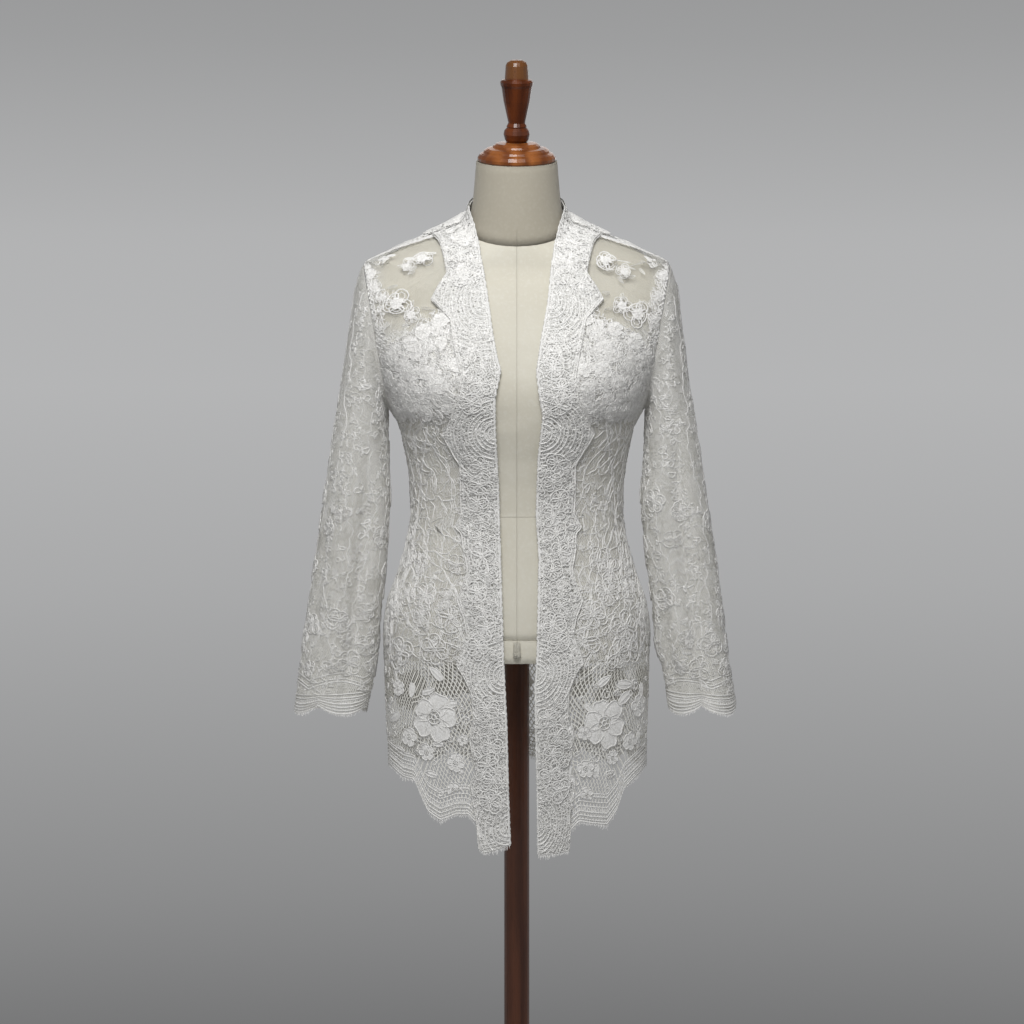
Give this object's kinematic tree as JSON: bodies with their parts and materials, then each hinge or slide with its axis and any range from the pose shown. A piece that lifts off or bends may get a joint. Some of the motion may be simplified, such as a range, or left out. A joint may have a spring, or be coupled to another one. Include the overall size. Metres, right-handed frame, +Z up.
{
  "type": "kebaya blouse on a dress form",
  "caption": "Open-front kebaya blouse of white lace with long sleeves and a scalloped border, worn on a limbless linen dress form with a turned wooden cap, pole and round base.",
  "frame": {"origin": "on the floor, at the middle of the base's underside, under the pole", "axes": "+Z up; -Y is the front of the blouse, where it opens; +X is on the right as seen from the front"},
  "size_m": [0.5547, 0.416, 1.6229],
  "materials": {
    "white_lace": "corded lace on fine net, matt with a slight sheen on the cords",
    "ivory_linen": "plain woven linen stretched over the form",
    "stained_wood": "turned wood, stained red-brown and varnished"
  },
  "bodies": {
    "root": {"back": "white_lace", "front_left": "white_lace", "front_right": "white_lace", "side_front_left": "white_lace", "side_front_right": "white_lace", "sleeve_left_head": "white_lace", "sleeve_left": "white_lace", "sleeve_right_head": "white_lace", "sleeve_right": "white_lace", "band_left": "white_lace", "band_right": "white_lace", "collar_back": "white_lace", "form_torso": "ivory_linen", "form_hip_band": "ivory_linen", "form_tab": "ivory_linen", "form_neck": "ivory_linen", "neck_cap": "stained_wood", "finial": "stained_wood", "pole": "stained_wood", "base": "stained_wood"}
  },
  "joints": []
}
